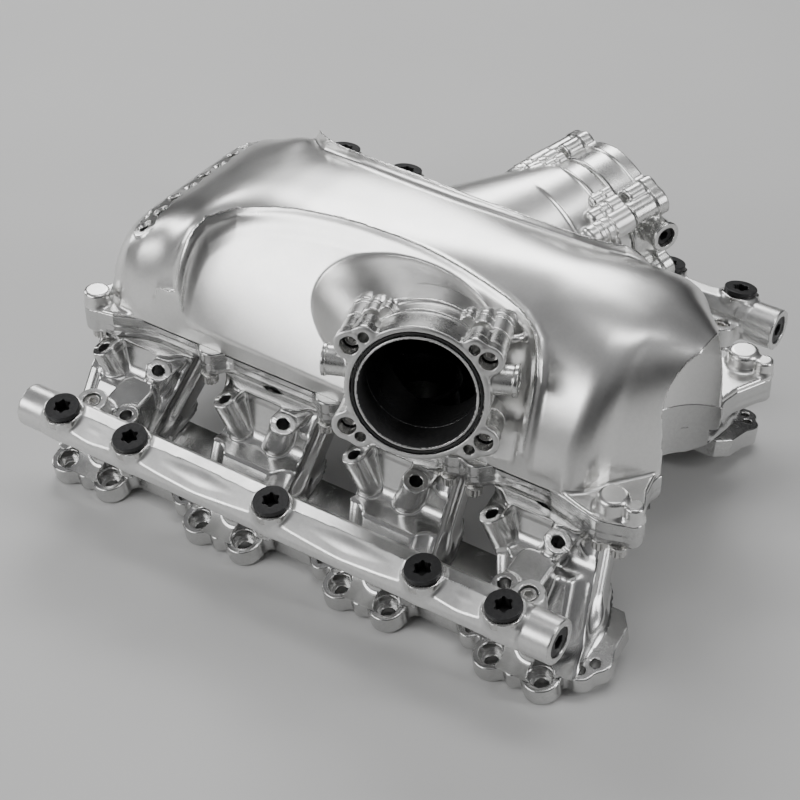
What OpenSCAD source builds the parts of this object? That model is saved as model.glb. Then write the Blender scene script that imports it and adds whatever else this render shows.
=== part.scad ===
// Twin-inlet intake manifold for a V8 engine.
// The plenum is a two-piece shell with a throttle neck on each side. Four
// runners per bank carry the air down to a head flange, and a fuel rail with
// four injectors stands over each flange. Millimetres, +Z up, +X towards the
// end that the throttle necks turn to, right bank on -Y, left bank on +Y.

/* [Engine layout] */
// Distance between neighbouring intake ports along a bank
port_pitch = 111.76; // [111.5:0.01:112]
// How far the left bank sits back from the right bank
bank_offset = 29.3; // [28:0.1:30]
// Distance from the middle plane to each row of head bolts
bolt_row_y = 154.1; // [153:0.1:156]
// Outward tilt of each head flange
flange_tilt = 12; // [10:0.5:13]
// Distance between the two head bolts of one port
bolt_pair = 35.28; // [34:0.02:36]

/* [Head flanges] */
// Thickness of the head flange
flange_t = 13.4; // [12:0.1:15]
// Diameter of the round intake port
port_d = 40; // [36:1:42]
// Diameter of the head bolt holes
head_bolt_d = 8.6; // [8.2:0.1:9]
// Diameter of the head bolt counterbores
head_cbore_d = 15; // [14:0.1:15.4]
// Radius of the lobe around each head bolt
lobe_r = 11.8; // [11:0.1:12.5]

/* [Plenum] */
// Distance between neighbouring runner tops
top_pitch = 102.5; // [100:0.5:104]
// Distance from the middle plane to the runner tops
top_y = 58; // [57:0.5:59]
// Thickness of the plenum base
base_t = 18; // [16:1:19]
// Height of the upright band around the bottom of the lid
band_h = 12.5; // [10:0.5:14]
// Half width of the plenum lid
lid_half_w = 90; // [89:0.5:91]
// Wall thickness of the lid
wall = 5; // [4.5:0.5:6]

/* [Throttle inlets] */
// Bore of each throttle inlet
throttle_bore_d = 71.4; // [68:0.2:72]
// Turn of each neck away from the crosswise direction
neck_turn = 22.83; // [20:0.01:24]
// Upward tilt of each neck
neck_rise = 10.53; // [9:0.01:12]
// Side of the square that the throttle body studs stand on
throttle_square = 66; // [64:0.5:67]
// Diameter of the throttle body bolt holes
throttle_hole_d = 6.8; // [6:0.1:7]
// Thickness of the throttle adapter
adapter_t = 26; // [24:0.5:28]

/* [Fuel rails] */
// Diameter of the rail barrel
rail_d = 29; // [28:0.5:30]
// Diameter of the fuel gallery
gallery_d = 14; // [12:0.5:16]
// Diameter of the plug heads
plug_d = 22.7; // [22:0.1:24]

/* [Hidden] */
$fn = 48;

// the origin is under the middle of the whole manifold, on its lowest edge
frame_x = 5.72;
frame_z = 15.561;
mid_x = -14.6;                       // middle of the plenum
base_z = 84;                         // joint between base and lid
under_z = base_z - base_t;           // underside of the base
right_ports = [for (i = [-1.5:1:1.5]) i*port_pitch];
tops = [for (i = [-1.5:1:1.5]) mid_x + i*top_pitch];
port_v = -38;                        // port centre, measured inboard of the bolts
elbow_w = 18;                        // height of the runner elbow over the flange
st = sin(flange_tilt);
ct = cos(flange_tilt);
rail_mid = 6.6;                      // middle of the rail, along the bank
rail_y = -173;
rail_z = 55.4;
post_v = -14.34;
plug_xs = [-166.1, -110.4, 0, 110.4, 166.1];

module placed() { translate([frame_x, 0, frame_z]) children(); }

// right bank as drawn; the left bank is its mirror image, moved back
module right_bank() { placed() children(); }
module left_bank() { placed() translate([-bank_offset, 0, 0]) mirror([0, 1, 0]) children(); }
// the plenum side: right as drawn, left mirrored without the bank offset
module left_side() { placed() mirror([0, 1, 0]) children(); }

// local frame of the right head flange: x along the bank, y outboard, z out of
// the bolt seats
module on_flange() {
  translate([0, -bolt_row_y, 0]) rotate([flange_tilt, 0, 0]) mirror([0, 1, 0]) children();
}
// local frame of the right throttle inlet: z out of the bore, x level
module on_inlet() {
  translate([76.2, -125.3, 149.3]) rotate([0, 0, neck_turn]) rotate([90 - neck_rise, 0, 0]) children();
}

// ---------- head flange ----------
module flange_outline() {
  difference() {
    union() {
      // inboard body with a web between the port pairs
      translate([-189, -66]) square([393, 51]);
      for (p = right_ports) {
        for (s = [-1, 1]) translate([p + s*bolt_pair/2, 0]) circle(r = lobe_r);
        // bridge between the two lobes of a pair
        translate([p - bolt_pair/2, -20]) square([bolt_pair, 28.4]);
        translate([p - bolt_pair/2 - lobe_r, -20]) square([bolt_pair + 2*lobe_r, 20]);
        // small lobe beside each inner pair
        if (p > -100) translate([p - bolt_pair/2 - 21.5, -10]) circle(r = 7);
      }
      // end pad
      translate([204, -16]) circle(r = 8.5);
      translate([208, -27]) circle(r = 10.5);
      translate([190, -66]) square([24, 40]);
    }
  }
}
module head_flange() {
  color("silver") on_flange() difference() {
    translate([0, 0, -flange_t]) linear_extrude(flange_t) flange_outline();
    for (p = right_ports) {
      for (s = [-1, 1]) translate([p + s*bolt_pair/2, 0, 0]) {
        translate([0, 0, -flange_t - 1]) cylinder(d = head_bolt_d, h = flange_t + 2);
        translate([0, 0, -8.4]) cylinder(d = head_cbore_d, h = 10);
      }
      // runner port
      translate([p, port_v, -flange_t - 1]) cylinder(d = port_d, h = flange_t + 2, $fn = 64);
      // seal groove around the port, open to the head side
      translate([p, port_v, -flange_t - 1]) difference() {
        cylinder(r = port_d/2 + 5.2, h = 3.2, $fn = 64);
        translate([0, 0, -1]) cylinder(r = port_d/2 + 2, h = 6, $fn = 64);
      }
      // small tapped hole beside the pair
      if (p > -100) translate([p - bolt_pair/2 - 21.5, -10, -9]) cylinder(d = 5, h = 10);
    }
    // two small holes in the end pad
    translate([204, -15.6, -flange_t - 1]) cylinder(d = 6, h = flange_t + 2);
    translate([209.5, -24, -flange_t - 1]) cylinder(d = 6.6, h = flange_t + 2);
    // dowel holes on the inboard edge
    for (x = [-111.76, 111.76]) translate([x, -58, -flange_t - 1]) cylinder(d = 8, h = flange_t + 2);
  }
}
module port_seals() {
  color("black") on_flange() for (p = right_ports)
    translate([p, port_v, -flange_t + 1.1]) rotate_extrude($fn = 48) translate([port_d/2 + 3.6, 0]) circle(r = 1.1, $fn = 16);
}

// local frame of an injector: z up its axis, origin on the rail's own axis
module on_injector(p) { translate([p - 14, rail_y, rail_z]) rotate([42, 0, 0]) children(); }

// ---------- runners ----------
function port_c(p, w) = [p, -bolt_row_y - port_v*ct - w*st, -port_v*st + w*ct];
module duct(a, b, r) {
  d = b - a; l = norm(d);
  translate(a) rotate([0, acos(d[2]/l), atan2(d[1], d[0])]) cylinder(r = r, h = l, $fn = 64);
}
nozzle_mid = 2.4;
function nozzle_c(t, s) = [t + nozzle_mid + s*23.5, -104.5, 61.3];
module runner_hull(p, t) {
  hull() {
    on_flange() translate([p, port_v - 1, 0]) linear_extrude(0.4) offset(r = 20, $fn = 32) square([26, 8], center = true);
    translate(port_c(p, elbow_w + 6)) sphere(r = port_d/2 + 6, $fn = 32);
  }
  hull() {
    translate(port_c(p, elbow_w + 6)) sphere(r = port_d/2 + 6, $fn = 32);
    translate([t, -top_y - 4, under_z - 0.4]) linear_extrude(0.4) offset(r = 16, $fn = 32) square([54, 28], center = true);
  }
}
module runner(p, t) {
  e = port_c(p, elbow_w);
  color("gainsboro") difference() {
    union() {
      runner_hull(p, t);
      // post beside the head bolts, tall at the two ends where it holds the rail
      on_flange() translate([p + rail_mid, post_v, 0]) cylinder(r = 9.8, h = abs(p) > 100 ? 44.8 : 36);
      // bracket boss near each end of the rail
      if (abs(p) > 100) on_flange() translate([p < 0 ? -140 : 151, -21.6, 0]) cylinder(r = 8, h = 46.5);
      // injector boss
      on_injector(p) translate([0, 0, -62]) cylinder(r = 9.5, h = 28);
      // pair of converging nozzle bosses, each with a tab that reaches back
      for (s = [-1, 1]) {
        duct(nozzle_c(t, s) - 42*[s*0.325, -0.184, 0.927], nozzle_c(t, s), 8.6);
        translate([t + nozzle_mid + s*19.5 - 9, -99, 56]) cube([18, 20, 9.9]);
      }
    }
    // keep clear of the flange and of the plenum base
    on_flange() translate([p - 80, -90, -60]) cube([160, 140, 60]);
    translate([t - 90, -130, under_z]) cube([180, 120, 60]);
    // room for the head bolts
    for (s = [-1, 1]) on_flange() translate([p + s*bolt_pair/2, 0, -1]) cylinder(r = 8, h = 60);
    // air passage
    duct(port_c(p, -2), e, port_d/2 + 0.6);
    translate(e) sphere(d = port_d + 1.7, $fn = 64);
    duct(e, [t, -top_y, under_z + 0.01], port_d/2);
    translate([t, -top_y, under_z - 0.01]) sphere(d = port_d + 0.5, $fn = 64);
    // injector pocket
    on_injector(p) translate([0, 0, -47]) cylinder(d = 13.6, h = 20);
    on_injector(p) translate([0, 0, -64]) cylinder(d = 8, h = 30);
    // rail screw and bracket holes
    if (abs(p) > 100) on_flange() {
      translate([p + rail_mid, post_v, 21]) cylinder(d = 6.2, h = 35);
      translate([p < 0 ? -140 : 151, -21.6, 30]) cylinder(d = 8.5, h = 30);
    }
    // nozzle holes
    for (s = [-1, 1]) duct(nozzle_c(t, s) - 30*[s*0.325, -0.184, 0.927], nozzle_c(t, s) + 2*[s*0.325, -0.184, 0.927], 4.3);
  }
}

// ---------- plenum base ----------
base_bolt_xs = [-203, -109, -15, 79, 97, 186, 199];
// corner wings that carry the tall bosses, right side
module wings() {
  polygon([[146, -84], [160, -90], [174, -96], [190, -98.5], [204, -96], [212, -88], [211, -76], [196, -40], [150, -60]]);
  polygon([[-160, -84], [-176, -91], [-190, -98], [-206, -99.5], [-214, -90], [-211, -74], [-198, -50], [-160, -60]]);
}
module plenum_plan(g) {
  // plan outline of the plenum, shrunk by g
  polygon([[-208 + g, -60 + g*0.3], [-202 + g, -76 + g*0.6], [-190 + g*0.6, -86 + g*0.9], [-172, -lid_half_w + g], [156, -lid_half_w + g],
    [172, -80 + g], [199.5 - g, -44 + g*0.6], [199.5 - g, 44 - g*0.6], [172, 80 - g], [156, lid_half_w - g], [-172, lid_half_w - g],
    [-190 + g*0.6, 86 - g*0.9], [-202 + g, 76 - g*0.6], [-208 + g, 60 - g*0.3]]);
}
// loop of the seal: under the lid wall, and across behind the front scoop
module seal_plan(g) {
  polygon([[-208 + g, -60 + g*0.3], [-202 + g, -76 + g*0.6], [-190 + g*0.6, -86 + g*0.9], [-172, -lid_half_w + g], [156, -lid_half_w + g],
    [162 - g, -85 + g*0.8], [162 - g, 85 - g*0.8], [156, lid_half_w - g], [-172, lid_half_w - g],
    [-190 + g*0.6, 86 - g*0.9], [-202 + g, 76 - g*0.6], [-208 + g, 60 - g*0.3]]);
}
module plenum_base() {
  color("silver") placed() difference() {
    union() {
      translate([0, 0, under_z]) linear_extrude(base_t) {
        plenum_plan(2);
        wings();
        mirror([0, 1]) wings();
        for (x = base_bolt_xs, s = [-1, 1]) translate([x, s*90]) circle(r = 9.4);
      }
      // tall bosses at the corners
      for (s = [-1, 1]) {
        translate([190, s*86, under_z]) cylinder(r = 10.5, h = base_t);
        translate([205, s*86, under_z]) cylinder(r = 6.5, h = base_t);
        translate([-203, s*91, under_z]) cylinder(r = 9.5, h = base_t);
      }
    }
    // runner mouths
    for (t = tops, s = [-1, 1]) translate([t, s*top_y, under_z - 10]) cylinder(d = port_d, h = base_t + 20, $fn = 64);
    // base bolts
    for (x = base_bolt_xs, s = [-1, 1]) translate([x, s*91, under_z - 10]) cylinder(d = 6.4, h = base_t + 20);
    // weight-saving opening in the middle of the floor is closed by a thin floor
    translate([-190, -28, under_z - 1]) cube([350, 56, base_t - 5]);
    // seal groove
    translate([0, 0, base_z - 2.4]) linear_extrude(3) difference() { seal_plan(1.4); seal_plan(4.2); }
    // front scoop runs on down through the base
    translate([205, 0, under_z - 1]) cylinder(r = 40, h = base_t + 2, $fn = 64);
    // dowel holes
    for (s = [-1, 1]) { translate([-150, s*34, base_z - 8]) cylinder(d = 6, h = 10); }
  }
}
module plenum_seal() {
  color("black") placed() translate([0, 0, base_z - 2.4]) linear_extrude(2.4) difference() { seal_plan(1.7); seal_plan(3.9); }
}
module velocity_stacks() {
  color("dimgray") for (t = tops) translate([t, -top_y, base_z]) rotate_extrude($fn = 64)
    polygon([[port_d/2, 0], [port_d/2 + 4, 0], [port_d/2 + 4, 3], [port_d/2 + 2.4, 4], [port_d/2 + 2.4, 12], [port_d/2 + 3.6, 16], [port_d/2 + 5.4, 17.5],
      [port_d/2 + 5.2, 19], [port_d/2 + 3.4, 19.6], [port_d/2 + 1.4, 18], [port_d/2 + 0.3, 14]]);
}

// ---------- plenum lid ----------
// stations along the lid: x, half width of the bottom, ridge y, ridge z, centre z
lid_st = [
  [-208, 58, 40,  98,  100], [-203, 72, 52, 108,  112], [-194, 83, 62, 120,  128], [-185, 87, 70, 128, 138],
  [-172, 90, 78, 138, 150], [-158, 90, 80, 142, 158], [-136, 90, 76, 150, 165], [-122, 90, 60, 162, 170],
  [-100, 90, 48, 170, 173], [-70, 90, 40, 177, 175], [-30, 90, 35, 180, 176], [10, 90, 34, 180, 177],
  [50, 90, 38, 177, 178], [85, 90, 43, 173, 179], [108, 90, 50, 168, 180], [124, 90, 62, 161, 181],
  [142, 90, 66, 158, 180], [156, 90, 66, 154, 178], [172, 80, 62, 148, 176], [186, 62, 52, 140, 172], [199.5, 44, 40, 130, 166]];
function half(s, g) = let (w = s[1] - g, y = min(s[2], s[1] - 4) - g, z = s[3] - g*0.8, c = s[4] - g, b = base_z - (g > 0 ? 1 : 0), m = base_z + band_h)
  [[w, b], [w, min(m - g*0.4, z - 12)], [w + (y - w)*0.22, m - g*0.4 + (z - m)*0.34], [w + (y - w)*0.5, m + (z - m)*0.66 - g*0.3], [w + (y - w)*0.8, m + (z - m)*0.9 - g*0.3],
   [y, z], [y*0.82, z + (c - z)*0.25 - 3], [y*0.5, z + (c - z)*0.75], [y*0.2, c]];
function loop(s, g) = let (h = half(s, g)) concat([for (q = h) [s[0], -q[0], q[1]]], [for (i = [len(h) - 1:-1:0]) [s[0], h[i][0], h[i][1]]]);
module loft(ss, g) {
  n = 18; k = len(ss);
  pts = [for (s = ss) each loop(s, g)];
  // quads split along one diagonal so that every face is flat
  faces = concat([[for (i = [n - 1:-1:0]) i]], [[for (i = [0:n - 1]) (k - 1)*n + i]],
    [for (j = [0:k - 2], i = [0:n - 1]) [j*n + i, (j + 1)*n + (i + 1)%n, (j + 1)*n + i]],
    [for (j = [0:k - 2], i = [0:n - 1]) [j*n + i, j*n + (i + 1)%n, (j + 1)*n + (i + 1)%n]]);
  polyhedron(points = pts, faces = faces);
}
lid_in = [for (s = lid_st) if (s[0] > -200 && s[0] < 160) s];
module neck_solid() {
  on_inlet() {
    translate([0, 0, -76]) cylinder(r = 44, h = 76 - adapter_t, $fn = 64);
    translate([0, 0, -78]) cylinder(r1 = 58, r2 = 45, h = 36, $fn = 64);
    // bolt bosses that run back along the neck
    for (sx = [-1, 1], sy = [-1, 1]) translate([sx*41.4, sy*26.8, -64]) cylinder(r = 9, h = 64 - adapter_t);
  }
}
module plenum_lid() {
  color("gainsboro") placed() difference() {
    union() {
      loft(lid_st, 0);
      neck_solid();
      mirror([0, 1, 0]) neck_solid();
      // corner bosses over those of the base
      for (s = [0, 1]) mirror([0, s, 0]) {
        translate([0, 0, base_z]) linear_extrude(4) wings();
        translate([190, -86, base_z]) cylinder(r = 10.5, h = 15);
        translate([205, -86, base_z]) cylinder(r = 6.5, h = 13);
        translate([-203, -91, base_z]) cylinder(r = 9.5, h = 13);
      }
    }
    // flat joint with the base
    translate([-300, -200, -100]) cube([600, 400, 100 + base_z]);
    loft(lid_in, wall);
    // tapped holes of the base bolts
    for (x = base_bolt_xs, s = [-1, 1]) translate([x, s*91, base_z - 1]) cylinder(d = 5.2, h = 10);
    // front scoop
    translate([205, 0, base_z - 1]) cylinder(r = 40, h = 41, $fn = 64);
    translate([205, 0, base_z + 40]) sphere(r = 40, $fn = 64);
    // inlet bores and their bolt holes
    for (m = [0, 1]) mirror([0, m, 0]) on_inlet() {
      translate([0, 0, -118]) cylinder(d = throttle_bore_d + 1.2, h = 118, $fn = 64);
      for (sx = [-1, 1], sy = [-1, 1]) translate([sx*41.4, sy*26.8, -56]) cylinder(d = 5.2, h = 56);
      translate([0, 0, -adapter_t - 1.9]) difference() { cylinder(r = 41.6, h = 3, $fn = 64); translate([0, 0, -1]) cylinder(r = 38.8, h = 5, $fn = 64); }
    }
    // tapped holes along the rear edge
    for (i = [-4:4]) translate([-185.3, i*17, 138.3 - abs(i)*3]) rotate([0, -52, 0]) translate([0, 0, -4]) cylinder(d = 6.8, h = 12);
  }
}

// ---------- throttle adapter ----------
module adapter_outline() {
  circle(r = 44.2, $fn = 96);
  for (sx = [-1, 1], sy = [-1, 1]) {
    translate([sx*41.4, sy*26.8]) circle(r = 9.4);
    translate([sx*33.1, sy*32.8]) circle(r = 7.6);
  }
}
module throttle_adapter() {
  color("silver") on_inlet() difference() {
    union() {
      translate([0, 0, -9]) linear_extrude(9) adapter_outline();
      translate([0, 0, -adapter_t]) cylinder(r = 43.6, h = adapter_t, $fn = 96);
      for (sx = [-1, 1], sy = [-1, 1]) translate([sx*41.4, sy*26.8, -adapter_t]) cylinder(r = 9.2, h = adapter_t);
      for (sx = [-1, 1], sy = [-1, 1]) translate([sx*33.1, sy*32.8, -20]) cylinder(r = 7.2, h = 20);
      // sensor stubs on both sides
      translate([-59, 10.85, -10.5]) rotate([0, 90, 0]) cylinder(d = 20.5, h = 118);
    }
    translate([0, 0, -adapter_t - 1]) cylinder(d = throttle_bore_d, h = adapter_t + 2, $fn = 96);
    for (sx = [-1, 1], sy = [-1, 1]) {
      translate([sx*41.4, sy*26.8, -adapter_t - 1]) cylinder(d = 6.6, h = adapter_t + 2);
      translate([sx*41.4, sy*26.8, -16]) cylinder(d = 11.6, h = 17);
      translate([sx*throttle_square/2, sy*throttle_square/2, -16]) cylinder(d = throttle_hole_d, h = 17);
      translate([sx*60, 10.85, -10.5]) rotate([0, -sx*90, 0]) translate([0, 0, -1]) cylinder(d = 13.2, h = 14.5);
    }
    // face seal groove
    translate([0, 0, -1.9]) difference() { cylinder(r = 40.4, h = 3, $fn = 96); translate([0, 0, -1]) cylinder(r = 37.6, h = 5, $fn = 96); }
  }
}
module throttle_seal() {
  color("black") on_inlet() translate([0, 0, -1]) rotate_extrude($fn = 64) translate([39, 0]) circle(r = 0.9, $fn = 16);
}
module adapter_seal() {
  color("black") on_inlet() translate([0, 0, -adapter_t - 0.95]) rotate_extrude($fn = 64) translate([40.2, 0]) circle(r = 0.9, $fn = 16);
}
module socket_bolt(d, hd, hh, l, sk) {
  difference() {
    union() { translate([0, 0, -l]) cylinder(d = d, h = l); cylinder(d = hd, h = hh); }
    translate([0, 0, hh - hh*0.55]) cylinder(d = sk, h = hh, $fn = 6);
  }
}
module adapter_bolts() {
  color("gainsboro") on_inlet() for (sx = [-1, 1], sy = [-1, 1]) translate([sx*41.4, sy*26.8, -16]) socket_bolt(5, 10, 6, 36, 5);
}
module stub_plugs() {
  color("dimgray") on_inlet() for (sx = [-1, 1]) translate([sx*48, 10.85, -10.5]) rotate([0, sx*90, 0]) difference() {
    cylinder(d = 13, h = 9);
    translate([0, 0, 4]) cylinder(d = 6.4, h = 8, $fn = 6);
  }
}

// ---------- fuel rail ----------
module lean(x, y, z) { translate([x, y, z]) rotate([flange_tilt, 0, 0]) children(); }
module fuel_rail() {
  color("lightgray") difference() {
    union() {
      translate([-194, rail_y, rail_z]) rotate([0, 90, 0]) cylinder(d = rail_d, h = 401);
      // flat-sided body between the end barrels
      translate([-176, rail_y, rail_z]) rotate([90, 0, 90]) linear_extrude(366)
        polygon([[-16, -6], [-16, 3], [-10.4, 11.6], [3, 15], [13.2, 10.8], [15, 2], [15, -6], [9.2, -12], [-9.2, -12]]);
      // raised seats under the plugs
      for (x = plug_xs) lean(rail_mid + x, -180.1 + 5.6, 72.7 - 27) cylinder(r = 13, h = 24.6);
      // injector cups
      for (p = right_ports) on_injector(p) translate([0, 0, -22]) cylinder(r = 10.5, h = 18);
      // mounting ears
      for (s = [-1, 1]) lean(rail_mid + s*166.4, -152.3, 60.5) translate([0, 0, -14]) { cylinder(r = 10.5, h = 14); translate([-10.5, -16, 0]) cube([21, 16, 11]); }
    }
    // fuel gallery
    translate([-195, rail_y, rail_z]) rotate([0, 90, 0]) cylinder(d = gallery_d, h = 403);
    for (x = [-195, 199]) translate([x, rail_y, rail_z]) rotate([0, 90, 0]) cylinder(d = 20, h = 9);
    // plug threads
    for (x = plug_xs) lean(rail_mid + x, -180.1 + 5.6, 72.7 - 27) translate([0, 0, 8]) cylinder(d = 19, h = 30);
    // injector cup bores
    for (p = right_ports) on_injector(p) { translate([0, 0, -23]) cylinder(d = 14.6, h = 12); translate([0, 0, -20]) cylinder(d = 6, h = 20); }
    // ear screw holes
    for (s = [-1, 1]) lean(rail_mid + s*166.4, -152.3, 60.5) { translate([0, 0, -15]) cylinder(d = 6.6, h = 20); translate([0, 0, -7]) cylinder(d = 12, h = 10); }
  }
}
module rail_plugs() {
  color("#303030") for (x = plug_xs) lean(rail_mid + x, -180.1 + 5.6, 72.7 - 27) difference() {
    union() { translate([0, 0, 10]) cylinder(d = 18.6, h = 15); translate([0, 0, 25]) cylinder(d = plug_d, h = 3.4, $fn = 64); }
    translate([0, 0, 17]) cylinder(d = 11, h = 20, $fn = 6);
  }
}
module rail_end_plugs() {
  color("#303030") {
    translate([199, rail_y, rail_z]) rotate([0, 90, 0]) difference() { cylinder(d = 19.8, h = 6.5); translate([0, 0, 2]) cylinder(d = 9.5, h = 6, $fn = 6); }
    translate([-186, rail_y, rail_z]) rotate([0, -90, 0]) difference() { cylinder(d = 19.8, h = 6.5); translate([0, 0, 2]) cylinder(d = 9.5, h = 6, $fn = 6); }
  }
}
module rail_screws() {
  color("gainsboro") for (s = [-1, 1]) lean(rail_mid + s*166.4, -152.3, 60.5) translate([0, 0, -7]) socket_bolt(6, 10, 6, 28, 5);
}
module injectors() {
  color("dimgray") for (p = right_ports) on_injector(p) difference() {
    union() {
      translate([0, 0, -53]) cylinder(d = 7.6, h = 8);
      translate([0, 0, -46.5]) cylinder(d = 11.2, h = 11.5);
      translate([0, 0, -36]) cylinder(d = 10, h = 5);
      translate([0, 0, -32]) cylinder(d = 13, h = 8);
      translate([0, 0, -25]) cylinder(d = 10.4, h = 13);
    }
    translate([0, 0, -30]) cylinder(d = 4, h = 20);
  }
}
module injector_seals() {
  color("black") for (p = right_ports) on_injector(p) {
    translate([0, 0, -41]) rotate_extrude($fn = 32) translate([6.2, 0]) circle(r = 0.55, $fn = 12);
    translate([0, 0, -16]) rotate_extrude($fn = 32) translate([6.25, 0]) circle(r = 0.95, $fn = 12);
  }
}

// ---------- fasteners of the plenum ----------
module twelve_point(d) { for (a = [0, 30, 60]) rotate(a) square(d*0.74, center = true); }
module base_bolts() {
  color("gainsboro") placed() for (x = base_bolt_xs, s = [-1, 1]) translate([x, s*91, under_z]) mirror([0, 0, 1]) {
    cylinder(d = 11.6, h = 1.6);
    translate([0, 0, 1.6]) linear_extrude(6) twelve_point(10.4);
    translate([0, 0, -base_t]) cylinder(d = 6, h = base_t);
  }
}
module base_dowels() {
  color("gainsboro") placed() for (s = [-1, 1]) translate([-150, s*34, base_z - 8]) cylinder(d = 6, h = 12);
}

plenum_lid();
plenum_base();
plenum_seal();
right_bank() runner(right_ports[0], tops[0]);  // runner_right_1
right_bank() runner(right_ports[1], tops[1]);  // runner_right_2
right_bank() runner(right_ports[2], tops[2]);  // runner_right_3
right_bank() runner(right_ports[3], tops[3]);  // runner_right_4
left_bank() runner(right_ports[0], tops[0] + bank_offset);  // runner_left_1
left_bank() runner(right_ports[1], tops[1] + bank_offset);  // runner_left_2
left_bank() runner(right_ports[2], tops[2] + bank_offset);  // runner_left_3
left_bank() runner(right_ports[3], tops[3] + bank_offset);  // runner_left_4
right_bank() head_flange();  // head_flange_right
left_bank() head_flange();  // head_flange_left
right_bank() port_seals();  // port_seals_right
left_bank() port_seals();  // port_seals_left
placed() velocity_stacks();  // velocity_stacks_right
left_side() velocity_stacks();  // velocity_stacks_left
right_bank() fuel_rail();  // fuel_rail_right
left_bank() fuel_rail();  // fuel_rail_left
right_bank() rail_plugs();  // rail_plugs_right
left_bank() rail_plugs();  // rail_plugs_left
right_bank() rail_end_plugs();  // rail_end_plugs_right
left_bank() rail_end_plugs();  // rail_end_plugs_left
right_bank() rail_screws();  // rail_screws_right
left_bank() rail_screws();  // rail_screws_left
right_bank() injectors();  // injectors_right
left_bank() injectors();  // injectors_left
right_bank() injector_seals();  // injector_seals_right
left_bank() injector_seals();  // injector_seals_left
placed() throttle_adapter();  // throttle_adapter_right
left_side() throttle_adapter();  // throttle_adapter_left
placed() adapter_bolts();  // adapter_bolts_right
left_side() adapter_bolts();  // adapter_bolts_left
placed() adapter_seal();  // adapter_seal_right
left_side() adapter_seal();  // adapter_seal_left
placed() throttle_seal();  // throttle_seal_right
left_side() throttle_seal();  // throttle_seal_left
placed() stub_plugs();  // stub_plugs_right
left_side() stub_plugs();  // stub_plugs_left
base_bolts();
base_dowels();
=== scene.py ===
import math
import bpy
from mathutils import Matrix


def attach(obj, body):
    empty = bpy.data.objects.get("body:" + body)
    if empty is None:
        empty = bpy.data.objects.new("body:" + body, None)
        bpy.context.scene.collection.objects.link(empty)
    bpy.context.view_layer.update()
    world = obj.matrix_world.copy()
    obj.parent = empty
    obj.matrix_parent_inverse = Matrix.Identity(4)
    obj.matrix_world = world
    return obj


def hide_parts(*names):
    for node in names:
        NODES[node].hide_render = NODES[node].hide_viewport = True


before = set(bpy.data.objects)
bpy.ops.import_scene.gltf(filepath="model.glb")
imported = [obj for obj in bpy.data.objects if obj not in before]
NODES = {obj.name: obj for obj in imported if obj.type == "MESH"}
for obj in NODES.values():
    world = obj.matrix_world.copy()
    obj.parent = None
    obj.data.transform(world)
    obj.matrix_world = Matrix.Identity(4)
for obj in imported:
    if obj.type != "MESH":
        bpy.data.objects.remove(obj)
from concurrent.futures import ThreadPoolExecutor
import bpy
import numpy as np
import openvdb
from mathutils import Matrix

# Everything below is drawn in millimetres in the plenum's own frame; these two
# numbers move it to the shared frame.
FX, FZ = 5.72, 15.561
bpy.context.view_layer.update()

# ------------------------------------------------------------------ field tools
def smin(a, b, r):
    u = np.maximum(r - a, 0); v = np.maximum(r - b, 0)
    return np.maximum(r, np.minimum(a, b)) - np.sqrt(u * u + v * v)

def smax(a, b, r):
    u = np.maximum(r + a, 0); v = np.maximum(r + b, 0)
    return np.minimum(-r, np.maximum(a, b)) + np.sqrt(u * u + v * v)

def cap(d, a, b, t):
    """An outline d, extruded from a to b along t."""
    return smax(d, np.maximum(a - t, t - b), 0.7)

def disc(x, y, r):
    return np.sqrt(x * x + y * y) - r

def cylinder(X, Y, Z, a, b, r, r2=None, edge=0.7):
    a = np.array(a, float); b = np.array(b, float)
    d = b - a; L = float(np.linalg.norm(d)); d = d / L
    x, y, z = X - a[0], Y - a[1], Z - a[2]
    t = x * d[0] + y * d[1] + z * d[2]
    q = np.sqrt(np.maximum(x * x + y * y + z * z - t * t, 0))
    if r2 is None:
        e = q - r
    else:
        k = (r2 - r) / L
        e = (q - (r + k * t)) / math.sqrt(1 + k * k)
    return smax(e, np.maximum(-t, t - L), edge)

def tube_line(X, Y, Z, a, b, r):
    """A round-ended rod."""
    a = np.array(a, float); b = np.array(b, float)
    d = b - a; L2 = float(d @ d)
    x, y, z = X - a[0], Y - a[1], Z - a[2]
    t = np.clip((x * d[0] + y * d[1] + z * d[2]) / L2, 0, 1)
    return np.sqrt((x - t * d[0]) ** 2 + (y - t * d[1]) ** 2 + (z - t * d[2]) ** 2) - r

def polygon(X, Y, pts):
    """Signed distance to a closed outline, in plan."""
    pts = np.array(pts, float)
    n = len(pts)
    d = None
    s = None
    for i in range(n):
        ax, ay = pts[i]; bx, by = pts[i - 1]
        ex, ey = bx - ax, by - ay
        wx, wy = X - ax, Y - ay
        t = np.clip((wx * ex + wy * ey) / (ex * ex + ey * ey), 0, 1)
        qx, qy = wx - ex * t, wy - ey * t
        dd = qx * qx + qy * qy
        d = dd if d is None else np.minimum(d, dd)
        c1 = Y >= ay; c2 = Y < by; c3 = ex * wy > ey * wx
        flip = (c1 & c2 & c3) | (~c1 & ~c2 & ~c3)
        s = np.where(flip, -1.0, 1.0) if s is None else s * np.where(flip, -1.0, 1.0)
    return (np.sqrt(d) * s).astype(X.dtype if hasattr(X, "dtype") else float)

def box2(x, y, hx, hy, r=0.0):
    qx = np.abs(x) - hx + r; qy = np.abs(y) - hy + r
    return np.minimum(np.maximum(qx, qy), 0) + np.sqrt(np.maximum(qx, 0) ** 2 + np.maximum(qy, 0) ** 2) - r

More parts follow.
